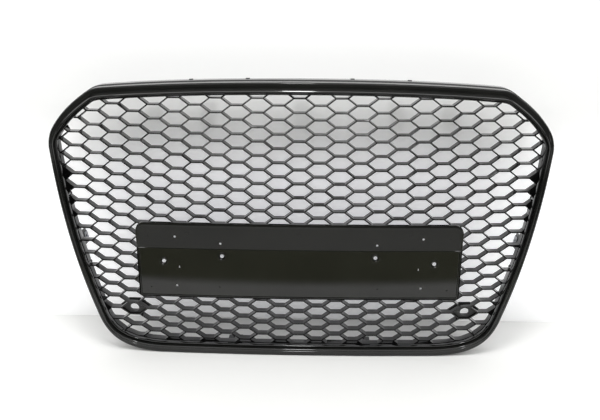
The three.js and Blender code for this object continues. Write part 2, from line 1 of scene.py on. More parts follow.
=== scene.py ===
"""Gloss black honeycomb front grille: its visible pieces, their finishes, and a plain studio.

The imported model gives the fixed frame. The mouldings and fasteners are modelled again in finer form
over it, in metres and in the same place. The grille faces -Y, X = 0 is its plane of symmetry, and
+Z is up. Sizes are written in millimetres from a datum at the crown of the honeycomb, as a maker
would draw them, and turned into metres in the model's own frame by the Datum class.
"""

import logging
import math
from collections.abc import Callable, Iterator, Sequence
from contextlib import contextmanager
from dataclasses import dataclass, field
from enum import Enum

import bmesh
import bpy
from mathutils import Matrix, Vector


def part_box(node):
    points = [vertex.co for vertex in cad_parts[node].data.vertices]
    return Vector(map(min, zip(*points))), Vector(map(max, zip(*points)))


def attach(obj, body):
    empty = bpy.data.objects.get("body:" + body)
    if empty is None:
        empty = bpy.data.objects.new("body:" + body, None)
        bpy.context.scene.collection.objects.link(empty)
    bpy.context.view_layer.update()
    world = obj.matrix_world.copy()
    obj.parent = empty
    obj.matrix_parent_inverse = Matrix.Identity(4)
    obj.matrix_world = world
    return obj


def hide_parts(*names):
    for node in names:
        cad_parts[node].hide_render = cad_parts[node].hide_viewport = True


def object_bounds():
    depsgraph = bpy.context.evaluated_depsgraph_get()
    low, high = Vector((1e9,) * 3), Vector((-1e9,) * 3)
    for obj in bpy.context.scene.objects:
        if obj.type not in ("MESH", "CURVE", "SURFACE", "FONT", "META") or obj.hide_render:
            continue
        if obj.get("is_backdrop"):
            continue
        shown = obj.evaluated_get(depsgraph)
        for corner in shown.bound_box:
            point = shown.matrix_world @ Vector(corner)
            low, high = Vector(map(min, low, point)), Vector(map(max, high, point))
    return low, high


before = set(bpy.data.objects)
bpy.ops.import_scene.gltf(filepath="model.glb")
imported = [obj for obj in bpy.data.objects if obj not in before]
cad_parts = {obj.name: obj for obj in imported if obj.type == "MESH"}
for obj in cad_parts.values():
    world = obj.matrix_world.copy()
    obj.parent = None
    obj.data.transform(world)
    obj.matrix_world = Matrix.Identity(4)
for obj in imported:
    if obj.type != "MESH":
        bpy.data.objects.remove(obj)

log = logging.getLogger("grille")

MM = 0.001
BODY = "root"

Point = tuple[float, float]


# ---- The datum, the curved surface and the outline -------------------------------------------------


@dataclass(frozen=True)
class Datum:
    """The crown of the honeycomb, and the curved middle surface that depths are measured from."""

    y: float = -53.636
    z: float = -85.8
    plan_bow: float = 0.9e-4
    lean: float = 0.2126
    profile_bow: float = 4.7e-4

    def bow(self, x: float) -> float:
        """How far the surface has swept back at this distance from the middle."""
        return self.plan_bow * x * x

    def surface(self, x: float, z: float) -> float:
        """Depth of the curved middle surface at a place."""
        return self.bow(x) + self.lean * z + self.profile_bow * z * z

    def place(self, x: float, y: float, z: float) -> Vector:
        """A datum place in millimetres as a point of the model in metres."""
        return Vector((x, y + self.y, z + self.z)) * MM

    def on_surface(self, x: float, z: float, depth: float) -> Vector:
        """The point at a depth behind the curved surface, in metres."""
        return self.place(x, self.surface(x, z) + depth, z)


@dataclass(frozen=True)
class Station:
    """One place on the frame's outer edge, with the way out of the ring and the band's width."""

    x: float
    z: float
    out_x: float
    out_z: float
    band: float

    def inward(self, distance: float) -> Point:
        """The place this far in from the edge."""
        return self.x - self.out_x * distance, self.z - self.out_z * distance

    def matrix(self, datum: Datum, inward: float, depth: float) -> Matrix:
        """A frame with +X out of the ring, +Y to the back and +Z along the edge.

        Args:
            datum: the surface that the station's depth starts from.
            inward: distance in from the outer edge, in millimetres.
            depth: depth behind the curved surface at the edge, in millimetres.

        Returns:
            The matrix that carries a shape drawn at the origin to the station.
        """
        x, z = self.inward(inward)
        origin = datum.place(x, datum.surface(self.x, self.z) + depth, z)
        columns = Matrix(
            ((self.out_x, 0, -self.out_z), (0, 1, 0), (self.out_z, 0, self.out_x))
        ).to_4x4()
        return Matrix.Translation(origin) @ columns


@dataclass(frozen=True)
class Outline:
    """The frame's outer edge, drawn as a chain of curves down its right half."""

    top_middle: Point = (0, 86.6)
    curves: tuple[tuple[tuple[Point, ...], int], ...] = (
        (((200, 86.6), (331.5, 75.4)), 22),
        (((346.8, 73.9), (359, 63.8)), 8),
        (((392.8, 40), (410, 10.8)), 8),
        (((418, -3.6), (417.2, -20.5)), 8),
        (((394.4, -176.6), (355, -309)), 26),
        (((342, -361), (318, -391.5), (235, -392)), 24),
        (((0, -392.4),), 16),
    )
    band_side: float = 9.5
    band_top_extra: float = 8.6
    band_bottom_extra: float = 4.5

    @staticmethod
    def along(points: Sequence[Point], t: float) -> Point:
        """The place at t on the curve that these control points draw, by repeated halving."""
        row = list(points)
        while len(row) > 1:
            row = [
                (a[0] + (b[0] - a[0]) * t, a[1] + (b[1] - a[1]) * t)
                for a, b in zip(row, row[1:])
            ]
        return row[0]

    def points(self, finer: int = 1) -> list[Point]:
        """All places round the outer edge, clockwise from the middle of the top."""
        half: list[Point] = []
        start = self.top_middle
        for controls, steps in self.curves:
            count = steps * finer
            half += [self.along((start, *controls), k / count) for k in range(count)]
            start = controls[-1]
        half.append(start)
        return half + [(-x, z) for x, z in reversed(half[1:-1])]

    def band(self, out_z: float) -> float:
        """Width of the front band where its edge faces this way."""
        up, down = max(0.0, out_z), max(0.0, -out_z)
        return self.band_side + self.band_top_extra * up**1.3 + self.band_bottom_extra * down**3

    def stations(self, finer: int = 1) -> list[Station]:
        """A station at every place of the outer edge."""
        places = self.points(finer)
        made = []
        for k, (x, z) in enumerate(places):
            before, after = places[k - 1], places[(k + 1) % len(places)]
            along = Vector((after[0] - before[0], after[1] - before[1])).normalized()
            made.append(Station(x, z, -along.y, along.x, self.band(along.x)))
        return made

    def nearest(self, x: float, z: float) -> Station:
        """The station nearest to a place, to about a millimetre."""
        return min(self.stations(12), key=lambda s: math.hypot(s.x - x, s.z - z))


DATUM = Datum()
OUTLINE = Outline()


def both_sides(places: Sequence[Point]) -> list[Point]:
    """Places on the right half with their mirror images, the middle ones once."""
    return [p for x, z in places for p in ([(x, z)] if x == 0 else [(-x, z), (x, z)])]


# ---- Modelling moves ---------------------------------------------------------------------------------


def only(*objects: bpy.types.Object) -> None:
    """Selects these objects alone, the first of them active."""
    bpy.ops.object.select_all(action="DESELECT")
    for thing in objects:
        thing.select_set(True)
    bpy.context.view_layer.objects.active = objects[0]


@contextmanager
def editing(piece: bpy.types.Object) -> Iterator[None]:
    """Edit mode on one piece, with nothing of it selected at the start."""
    only(piece)
    bpy.ops.object.mode_set(mode="EDIT")
    bpy.ops.mesh.select_all(action="DESELECT")
    yield
    bpy.ops.object.mode_set(mode="OBJECT")


def pick_faces(test: Callable[[Vector, Vector], bool]) -> int:
    """Selects the faces of the piece in edit mode that pass a test.

    Args:
        test: takes a face's middle and its normal.

    Returns:
        How many faces are selected.
    """
    bpy.ops.mesh.select_mode(type="FACE")
    bpy.ops.mesh.select_all(action="DESELECT")
    mesh = bpy.context.edit_object.data
    work = bmesh.from_edit_mesh(mesh)
    chosen = [f for f in work.faces if test(f.calc_center_median(), f.normal)]
    for face in chosen:
        face.select_set(True)
    bmesh.update_edit_mesh(mesh)
    return len(chosen)


def pick_edges(test: Callable[[Vector, Vector], bool]) -> int:
    """Selects the edges of the piece in edit mode that pass a test.

    Args:
        test: takes an edge's two ends.

    Returns:
        How many edges are selected.
    """
    bpy.ops.mesh.select_mode(type="EDGE")
    bpy.ops.mesh.select_all(action="DESELECT")
    mesh = bpy.context.edit_object.data
    work = bmesh.from_edit_mesh(mesh)
    chosen = [e for e in work.edges if test(e.verts[0].co, e.verts[1].co)]
    for edge in chosen:
        edge.select_set(True)
    bmesh.update_edit_mesh(mesh)
    return len(chosen)


def apply_modifier(piece: bpy.types.Object, kind: str, **settings: object) -> None:
    """Adds a modifier with its settings to a piece and applies it."""
    only(piece)
    modifier = piece.modifiers.new(kind.title(), kind)
    for name, value in settings.items():
        setattr(modifier, name, value)
    bpy.ops.object.modifier_apply(modifier=modifier.name)


def soften(piece: bpy.types.Object, width: float, segments: int = 2, angle: float = 40) -> None:
    """Rounds every edge of a piece that is sharper than an angle.

    Args:
        piece: the piece to round.
        width: how wide each rounded edge is, in millimetres.
        segments: how many faces go round the edge.
        angle: the least angle between two faces that counts as sharp, in degrees.
    """
    apply_modifier(
        piece,
        "BEVEL",
        width=width * MM,
        segments=segments,
        limit_method="ANGLE",
        angle_limit=math.radians(angle),
        use_clamp_overlap=False,
        harden_normals=False,
    )


def boolean(piece: bpy.types.Object, other: bpy.types.Object, operation: str) -> None:
    """Joins, cuts or meets a piece with another, which is used up."""
    apply_modifier(piece, "BOOLEAN", operation=operation, object=other, solver="EXACT")
    bpy.data.objects.remove(other)


def smooth(piece: bpy.types.Object, angle: float = 32) -> None:
    """Shades a piece smooth except across edges sharper than an angle in degrees."""
    only(piece)
    bpy.ops.object.shade_smooth_by_angle(angle=math.radians(angle))


def box(name: str, size: Sequence[float], middle: Sequence[float]) -> bpy.types.Object:
    """A block of this size in millimetres about a middle in millimetres, applied to its mesh."""
    bpy.ops.object.select_all(action="DESELECT")
    bpy.ops.mesh.primitive_cube_add(size=1, location=Vector(middle) * MM)
    piece = bpy.context.object
    piece.name = name
    piece.scale = Vector(size) * MM
    bpy.ops.object.transform_apply()
    return piece


def drum(
    name: str, front_radius: float, back_radius: float, front: float, back: float, sides: int
) -> bpy.types.Object:
    """A round body about the Y axis between two depths, in millimetres."""
    bpy.ops.object.select_all(action="DESELECT")
    bpy.ops.mesh.primitive_cone_add(
        vertices=sides,
        radius1=front_radius * MM,
        radius2=back_radius * MM,
        depth=(back - front) * MM,
        location=(0, (front + back) / 2 * MM, 0),
        rotation=(-math.pi / 2, 0, 0),
    )
    piece = bpy.context.object
    piece.name = name
    bpy.ops.object.transform_apply()
    return piece


def carry(piece: bpy.types.Object, matrix: Matrix) -> bpy.types.Object:
    """Moves a piece drawn at the origin by a matrix and applies its place to its mesh."""
    only(piece)
    piece.matrix_world = matrix
    bpy.ops.object.transform_apply()
    return piece


def twin(piece: bpy.types.Object, name: str, matrix: Matrix) -> bpy.types.Object:
    """A copy with a mesh of its own, carried to its place."""
    made = piece.copy()
    made.data = piece.data.copy()
    made.name = made.data.name = name
    bpy.context.scene.collection.objects.link(made)
    return carry(made, matrix)


def weld(pieces: Sequence[bpy.types.Object], name: str) -> bpy.types.Object:
    """Joins several objects into the first one, under one name."""
    only(*pieces)
    if len(pieces) > 1:
        bpy.ops.object.join()
    pieces[0].name = pieces[0].data.name = name
    return pieces[0]


def moulding_copy(node: str, name: str) -> bpy.types.Object:
    """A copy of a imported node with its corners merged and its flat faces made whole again."""
    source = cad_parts[node]
    piece = source.copy()
    piece.data = source.data.copy()
    piece.name = piece.data.name = name
    piece.parent = None
    bpy.context.scene.collection.objects.link(piece)
    with editing(piece):
        bpy.ops.mesh.select_all(action="SELECT")
        bpy.ops.mesh.remove_doubles(threshold=0.01 * MM)
        bpy.ops.mesh.dissolve_limited(angle_limit=math.radians(0.4))
    return piece


def swept_ring(name: str, rings: Sequence[Sequence[Vector]]) -> bpy.types.Object:
    """A closed tube through rings of places, each ring extruded from the last.

    Args:
        name: the piece's name.
        rings: for each point of the section, its place at every station.

    Returns:
        The closed piece, facing outwards.
    """
    count = len(rings[0])
    bpy.ops.object.select_all(action="DESELECT")
    bpy.ops.mesh.primitive_circle_add(vertices=count, radius=1)
    piece = bpy.context.object
    piece.name = piece.data.name = name
    bpy.ops.object.transform_apply()

    def settle(first: int, places: Sequence[Vector]) -> None:
        """Moves the last ring of vertices to its places."""
        work = bmesh.from_edit_mesh(piece.data)
        work.verts.ensure_lookup_table()
        for k, place in enumerate(places):
            work.verts[first + k].co = place
        bmesh.update_edit_mesh(piece.data)

    with editing(piece):
        bpy.ops.mesh.select_all(action="SELECT")
        settle(0, rings[0])
        for k, places in enumerate([*rings[1:], rings[0]], start=1):
            bpy.ops.mesh.extrude_edges_move()
            settle(k * count, places)
        bpy.ops.mesh.select_all(action="SELECT")
        bpy.ops.mesh.remove_doubles(threshold=0.001 * MM)
        bpy.ops.mesh.normals_make_consistent(inside=False)
    return piece


def filleted(corners: Sequence[Point], radii: Sequence[float], steps: int = 4) -> list[Point]:
    """A closed section with each corner rounded.

    Args:
        corners: the section's corners in order.
        radii: the radius at each corner.
        steps: how many pieces each rounded corner has.

    Returns:
        The points of the rounded section, the same number at every corner.
    """
    points: list[Point] = []
    for k, corner in enumerate(corners):
        here = Vector(corner)
        before = Vector(corners[k - 1]) - here
        after = Vector(corners[(k + 1) % len(corners)]) - here
        half = before.angle(after) / 2
        reach = min(radii[k] / math.tan(half), before.length * 0.45, after.length * 0.45)
        start, end = here + before.normalized() * reach, here + after.normalized() * reach
        for step in range(steps + 1):
            t = step / steps
            low, high = start.lerp(here, t), here.lerp(end, t)
            points.append(tuple(low.lerp(high, t)))
    return points


def keep(piece: bpy.types.Object, slot: str, *nodes: str) -> bpy.types.Object:
    """Makes a finished piece ride on the grille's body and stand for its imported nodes."""
    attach(piece, BODY)
    if nodes:
        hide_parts(*nodes)
    depths = [vertex.co.y for vertex in piece.data.vertices]
    log.info("%s: %d faces, depth %.5f to %.5f", piece.name, len(piece.data.polygons),
             min(depths), max(depths))
    return piece


# ---- Shader wiring -----------------------------------------------------------------------------------


class Wire:
    """An output socket that adds Math nodes when it is used in an expression."""

    def __init__(self, shader: "Shader", socket: bpy.types.NodeSocket) -> None:
        """Keeps the shader it belongs to and the socket."""
        self.shader = shader
        self.socket = socket

    def _math(self, operation: str, *values: "Wire | float", clamp: bool = False) -> "Wire":
        """One Math node on these values."""
        return self.shader.node(
            "ShaderNodeMath",
            {"operation": operation, "use_clamp": clamp},
            {k: value for k, value in enumerate(values)},
        )

    def __add__(self, other: "Wire | float") -> "Wire":
        """Sum."""
        return self._math("ADD", self, other)

    __radd__ = __add__

    def __mul__(self, other: "Wire | float") -> "Wire":
        """Product."""
        return self._math("MULTIPLY", self, other)

    __rmul__ = __mul__

    def __sub__(self, other: "Wire | float") -> "Wire":
        """Difference."""
        return self._math("SUBTRACT", self, other)

    def __rsub__(self, other: float) -> "Wire":
        """Difference from a number."""
        return self._math("SUBTRACT", other, self)

    def held(self) -> "Wire":
        """The value kept between 0 and 1."""
        return self._math("ADD", self, 0.0, clamp=True)

    def over(self, low: float, high: float) -> "Wire":
        """A smooth step from 0 at low to 1 at high."""
        return self.shader.node(
            "ShaderNodeMapRange",
            {"interpolation_type": "SMOOTHSTEP"},
            {"Value": self, "From Min": low, "From Max": high},
        )


class Shader:
    """A material being wired up."""

    def __init__(self, name: str) -> None:
        """Starts an empty material with one output."""
        self.material = bpy.data.materials.new(name)
        self.material.use_nodes = True
        self.tree = self.material.node_tree
        self.tree.nodes.clear()
        self.coords = self.node("ShaderNodeTexCoord", {}, {}, "Object")

    def node(
        self,
        kind: str,
        settings: dict[str, object],
        values: dict[str | int, object],
        output: str | int = 0,
    ) -> Wire:
        """Adds any node.

        Args:
            kind: the node's type.
            settings: its own properties, set first; "stops" fills a colour ramp.
            values: numbers, colours or wires for its input sockets, by name or index.
            output: which output socket to hand back.

        Returns:
            The chosen output as a wire.
        """
        made = self.tree.nodes.new(kind)
        for name, value in settings.items():
            if name == "stops":
                ramp = made.color_ramp
                for stop, (place, colour) in zip(ramp.elements, value):
                    stop.position, stop.color = place, (*colour, 1)
            else:
                setattr(made, name, value)
        for name, value in values.items():
            socket = made.inputs[name]
            if isinstance(value, Wire):
                self.tree.links.new(value.socket, socket)
            elif socket.type == "RGBA" and len(value) == 3:
                socket.default_value = (*value, 1)
            else:
                socket.default_value = value
        return Wire(self, made.outputs[output])

    def noise(self, scale: float, detail: float = 3, roughness: float = 0.5, **more: object) -> Wire:
        """Noise of a scale given in repeats per metre."""
        values = {"Vector": self.coords, "Scale": scale, "Detail": detail, "Roughness": roughness}
        return self.node("ShaderNodeTexNoise", {}, {**values, **more}, "Fac")

    def stretched(self, scale: Sequence[float], turn: float = 0) -> Wire:
        """Object coordinates scaled by axis and turned about Y by degrees."""
        return self.node(
            "ShaderNodeMapping",
            {},
            {"Vector": self.coords, "Scale": scale, "Rotation": (0, math.radians(turn), 0)},
        )

    def upward(self) -> Wire:
        """How far the surface faces up, from 0 to 1."""
        geometry = self.node("ShaderNodeNewGeometry", {}, {}, "Normal")
        return self.node("ShaderNodeSeparateXYZ", {}, {"Vector": geometry}, "Z").over(0.15, 0.95)

    def mix(self, factor: Wire | float, low: object, high: object) -> Wire:
        """A colour between two colours."""
        made = self.tree.nodes.new("ShaderNodeMix")
        made.data_type = "RGBA"
        for index, value in ((0, factor), (6, low), (7, high)):
            if isinstance(value, Wire):
                self.tree.links.new(value.socket, made.inputs[index])
            elif index == 0:
                made.inputs[index].default_value = value
            else:
                made.inputs[index].default_value = (*value, 1)
        return Wire(self, made.outputs[2])

    def bump(self, height: Wire, strength: float, distance: float, under: Wire | None = None) -> Wire:
        """A bump node on a height."""
        values = {"Height": height, "Strength": strength, "Distance": distance}
        if under is not None:
            values["Normal"] = under
        return self.node("ShaderNodeBump", {}, values)

    def finish(self, fixed: dict[str, object], varied: dict[str, Wire]) -> bpy.types.Material:
        """Adds the surface shader and the output.

        Args:
            fixed: values that are the same all over.
            varied: wires for what changes over the surface.

        Returns:
            The finished material.
        """
        surface = self.node("ShaderNodeBsdfPrincipled", {}, {**fixed, **varied}, "BSDF")
        self.node_out(surface)
        return self.material

    def node_out(self, surface: Wire) -> None:
        """Links a surface to the material's output."""
        output = self.tree.nodes.new("ShaderNodeOutputMaterial")
        self.tree.links.new(surface.socket, output.inputs["Surface"])


# ---- Finishes ----------------------------------------------------------------------------------------


Colour = tuple[float, float, float]


@dataclass(frozen=True)
class GlossPlastic:
    """High-gloss black ABS as it leaves the mould: deep, slightly wavy, a little dusty and handled."""

    name: str
    dark: Colour = (0.0028, 0.0029, 0.0027)
    light: Colour = (0.0055, 0.0056, 0.0050)
    roughness: float = 0.045
    peel: float = 0.04
    dust: float = 0.3
    coat: float = 0.1

    def material(self) -> bpy.types.Material:
        """The wired material."""
        shader = Shader(self.name)
        cloud = shader.noise(9, 4, 0.55).over(0.35, 0.7)
        speck = shader.noise(1400, 2, 0.6).over(0.66, 0.74)
        film = shader.noise(38, 5, 0.62).over(0.42, 0.75) * (0.35 + 0.65 * shader.upward())
        swirl = shader.node(
            "ShaderNodeTexNoise",
            {},
            {"Vector": shader.stretched((22, 260, 420), 17), "Scale": 3.0, "Detail": 4.0},
            "Fac",
        ).over(0.6, 0.78)
        dusty = (speck * film * self.dust).held()
        colour = shader.mix(cloud, self.dark, self.light)
        colour = shader.mix(dusty, colour, (0.16, 0.155, 0.14))
        rough = self.roughness + 0.03 * cloud + 0.07 * film * self.dust + 0.05 * swirl + 0.4 * dusty
        peel = shader.noise(310, 2, 0.45)
        wave = shader.noise(42, 2, 0.4)
        normal = shader.bump(wave, self.peel, 0.35 * MM)
        normal = shader.bump(peel, self.peel, 0.05 * MM, normal)
        return shader.finish(
            {"IOR": 1.49, "Coat Roughness": 0.03, "Coat IOR": 1.5, "Coat Weight": self.coat},
            {"Base Color": colour, "Roughness": rough.held(), "Normal": normal},
        )


@dataclass(frozen=True)
class MouldedNylon:
    """Semi-gloss black nylon with a fine spark-eroded grain and faint flow marks."""

    name: str
    dark: Colour = (0.009, 0.009, 0.0095)
    light: Colour = (0.021, 0.021, 0.021)

    def material(self) -> bpy.types.Material:
        """The wired material."""
        shader = Shader(self.name)
        flow = shader.noise(24, 4, 0.6)
        grain = shader.noise(2600, 3, 0.7)
        dust = (shader.noise(900, 2, 0.6).over(0.6, 0.75) * shader.upward()).held()
        colour = shader.mix(flow, self.dark, self.light)
        colour = shader.mix(dust * 0.6, colour, (0.15, 0.145, 0.135))
        rough = 0.36 + 0.16 * flow + 0.12 * grain
        return shader.finish(
            {"IOR": 1.53},
            {"Base Color": colour, "Roughness": rough.held(),
             "Normal": shader.bump(grain, 0.35, 0.04 * MM)},
        )


@dataclass(frozen=True)
class PlatedSteel:
    """Plated or phosphated steel, its colour mottled and rubbed brighter in small random spots."""

    name: str
    dark: Colour
    light: Colour
    bare: Colour
    roughness: float
    metallic: float

    def material(self) -> bpy.types.Material:
        """The wired material."""
        shader = Shader(self.name)
        mottle = shader.noise(420, 5, 0.65).over(0.3, 0.72)
        rub = shader.noise(1700, 4, 0.7).over(0.62, 0.7)
        grain = shader.node(
            "ShaderNodeTexNoise",
            {},
            {"Vector": shader.stretched((900, 5200, 900)), "Scale": 1.0, "Detail": 3.0},
            "Fac",
        )
        colour = shader.mix(mottle, self.dark, self.light)
        colour = shader.mix(rub * 0.5, colour, self.bare)
        rough = self.roughness + 0.14 * mottle - 0.08 * rub
        return shader.finish(
            {"IOR": 1.5},
            {"Base Color": colour, "Roughness": rough.held(),
             "Metallic": (self.metallic + 0.1 * rub).held(),
             "Normal": shader.bump(grain, 0.25, 0.03 * MM)},
        )


class Finish(Enum):
    """The grille's finishes, one for each material slot of its record."""

    FRAME = GlossPlastic("frame_gloss_abs")
    HONEYCOMB = GlossPlastic(
        "honeycomb_gloss_abs", (0.003, 0.003, 0.003), (0.006, 0.006, 0.0058), 0.07, 0.06, 0.4, 0.0
    )
    CARRIER = GlossPlastic(
        "carrier_gloss_abs", (0.003, 0.0031, 0.0025), (0.006, 0.0062, 0.0048), 0.035, 0.03, 0.4, 0.1
    )
    HOLDER = MouldedNylon("holder_nylon")
    SCREW = PlatedSteel(
        "screw_black_zinc", (0.03, 0.03, 0.033), (0.085, 0.085, 0.088), (0.3, 0.3, 0.3), 0.28, 0.85
    )
    CLIP = PlatedSteel(
        "clip_spring_steel", (0.1, 0.1, 0.105), (0.26, 0.265, 0.275), (0.55, 0.55, 0.56), 0.3, 0.9
    )

    def dress(self, piece: bpy.types.Object) -> None:
        """Gives a piece this finish, made once and shared."""
        made = bpy.data.materials.get(self.value.name) or self.value.material()
        piece.data.materials.clear()
        piece.data.materials.append(made)


# ---- Surround frame ----------------------------------------------------------------------------------


@dataclass
class SurroundFrame:
    """The gloss frame round the honeycomb: a hollow band with a return flange, tabs and hooks."""

    flange_back: float = 12
    band_front: float = -31.5
    lip_back: float = -20
    lip_wall: float = 2.6
    lip_round: float = 1.4
    groove_places: tuple[float, float, float] = (5.3, 4.8, 3.4)
    groove_depth: float = 0.95
    crown: float = 0.16
    lip_crown: float = 0.09
    edge_width: float = 1.6
    edge_front: float = -31.1
    edge_back: float = -29.2
    step_front: float = -10
    step_back: float = -8
    ledge_groove: float = 1
    ledge_reach: float = 3
    ledge_floor: float = -24
    ledge_front: float = -25.5
    hollow_front: float = -27.4
    wall: float = 2.5
    top_step: float = 1.8
    tab_places: tuple[Point, ...] = (
        (0, 86.6), (158.8, 84.5), (250.8, 80.9), (385.8, -191.2), (117.5, -392.2),
    )
    tab_size: tuple[float, float, float] = (3, 28, 26)
    tab_reach: float = 22
    tab_drop: float = 2
    tab_hole: float = 4
    tab_hole_from_end: float = 8
    screw_places: tuple[Point, ...] = (
        (108.7, 85.7), (292.5, 78.4), (410, 10.8), (402.9, -107.8), (376.2, -231.4),
        (321.3, -369.8), (176.3, -392.1),
    )
    boss_inset: float = 6.4
    boss_radius: float = 3
    boss_front: float = -29
    boss_back: float = 2
    hole_radius: float = 2.1
    hole_depth: float = 12
    hook_places: tuple[float, ...] = (-183, -87.5, 87.5, 183)
    hook_size: tuple[float, float, float] = (4, 3, 7)
    hook_rise: float = 0.8
    piece: bpy.types.Object | None = field(default=None, init=False)

    def section(self, station: Station) -> list[Point]:
        """The wall's rounded section at a station, as inward distance and depth."""
        step = self.top_step * max(0.0, station.out_z) ** 2
        band, front = station.band, self.band_front
        outer, floor, inner = self.groove_places
        corners = [
            ((-step, self.flange_back), 0.5),
            ((-step, self.step_back), 0.5),
            ((0, self.step_front), 0.8),
            ((0, self.edge_back), 1.2),
            ((self.edge_width, self.edge_front), 1.0),
            ((band - outer, front + self.crown), 1.2),
            ((band - floor, front + self.groove_depth), 0.3),
            ((band - inner, front + self.lip_crown), 0.4),
            ((band - self.lip_round, front + self.crown), 1.4),
            ((band, front + self.lip_wall), 1.2),
            ((band, self.ledge_floor), 0.3),
            ((band + self.ledge_groove, self.ledge_floor), 0.3),
            ((band + self.ledge_groove, self.ledge_front), 0.5),
            ((band + self.ledge_reach, self.ledge_front), 0.6),
            ((band + self.ledge_reach, self.lip_back), 0.4),
            ((band - self.lip_wall, self.lip_back), 0.5),
            ((band - self.lip_wall, self.hollow_front - 0.4), 1.0),
            ((self.wall, self.hollow_front), 1.0),
            ((self.wall, self.flange_back), 0.5),
        ]
        return filleted([corner for corner, _ in corners], [radius for _, radius in corners], 3)

    def ring(self) -> bpy.types.Object:
        """The band, flange and lip, swept once round the outline."""
        stations = OUTLINE.stations()
        sections = [self.section(station) for station in stations]
        rings = []
        for k in range(len(sections[0])):
            places = []
            for station, section in zip(stations, sections):
                inward, depth = section[k]
                x, z = station.inward(inward)
                places.append(DATUM.place(x, DATUM.surface(station.x, station.z) + depth, z))
            rings.append(places)
        return swept_ring("frame_ring", rings)

    def tab(self) -> bpy.types.Object:
        """A fixing tab at the origin, its hole along X, its corners rounded."""
        thick, long, wide = self.tab_size
        tab = box("tab", self.tab_size, (0, 0, 0))
        with editing(tab):
            pick_edges(
                lambda a, b: abs(a.y - b.y) < MM and min(a.y, b.y) > 0 and abs(a.z - b.z) < MM
            )
            bpy.ops.mesh.bevel(offset=2.2 * MM, segments=4)
        hole = drum("tab_hole", self.tab_hole, self.tab_hole, -thick, thick, 28)
        place = Matrix.Translation((0, (long / 2 - self.tab_hole_from_end) * MM, 0))
        carry(hole, place @ Matrix.Rotation(math.pi / 2, 4, "Z"))
        boolean(tab, hole, "DIFFERENCE")
        soften(tab, 0.3, 2)
        return tab

    def build(self) -> bpy.types.Object:
        """Models the whole frame.

        Returns:
            The finished piece.
        """
        parts = [self.ring()]
        pattern = self.tab()
        _, long, _ = self.tab_size
        for k, (x, z) in enumerate(both_sides(self.tab_places)):
            station = OUTLINE.nearest(x, z)
            depth = self.flange_back + self.tab_reach - long / 2
            inward = self.tab_drop + self.tab_size[0] / 2
            parts.append(twin(pattern, f"tab_{k}", station.matrix(DATUM, inward, depth)))
        bpy.data.objects.remove(pattern)
        for k, (x, z) in enumerate(both_sides(self.screw_places)):
            station = OUTLINE.nearest(x, z)
            radius, back = self.boss_radius, self.boss_back
            boss = drum(f"boss_{k}", radius, radius, self.boss_front, back, 20)
            radius = self.hole_radius
            hole = drum("boss_hole", radius, radius, back - self.hole_depth, back + 1, 16)
            boolean(boss, hole, "DIFFERENCE")
            soften(boss, 0.25, 2)
            parts.append(carry(boss, station.matrix(DATUM, self.boss_inset, 0)))
        for k, x in enumerate(self.hook_places):
            station = OUTLINE.nearest(x, self.tab_places[0][1])
            hook = box(f"hook_{k}", self.hook_size, (0, 0, 0))
            soften(hook, self.hook_rise, 3)
            depth = self.flange_back - self.hook_size[1]
            parts.append(carry(hook, station.matrix(DATUM, -self.hook_rise, depth)))
        self.piece = weld(parts, "frame_moulding")
        smooth(self.piece)
        return keep(self.piece, "frame_gloss", "surround_frame")

    def dress(self) -> None:
        """Gives the frame its gloss."""
        Finish.FRAME.dress(self.piece)


# ---- Honeycomb insert --------------------------------------------------------------------------------


@dataclass
class HoneycombInsert:
    """The curved sheet of six-sided cells with its rim, window wall and lugs."""

    edge_width: float = 0.45
    piece: bpy.types.Object | None = field(default=None, init=False)

    def build(self) -> bpy.types.Object:
        """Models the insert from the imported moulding, every edge rounded.

        Returns:
            The finished piece.
        """
        self.piece = moulding_copy("honeycomb_insert", "honeycomb_moulding")
        soften(self.piece, self.edge_width, 2, 38)
        smooth(self.piece, 28)
        return keep(self.piece, "honeycomb_gloss", "honeycomb_insert")

    def dress(self) -> None:
        """Gives the insert its gloss."""
        Finish.HONEYCOMB.dress(self.piece)


# ---- Number-plate carrier ----------------------------------------------------------------------------


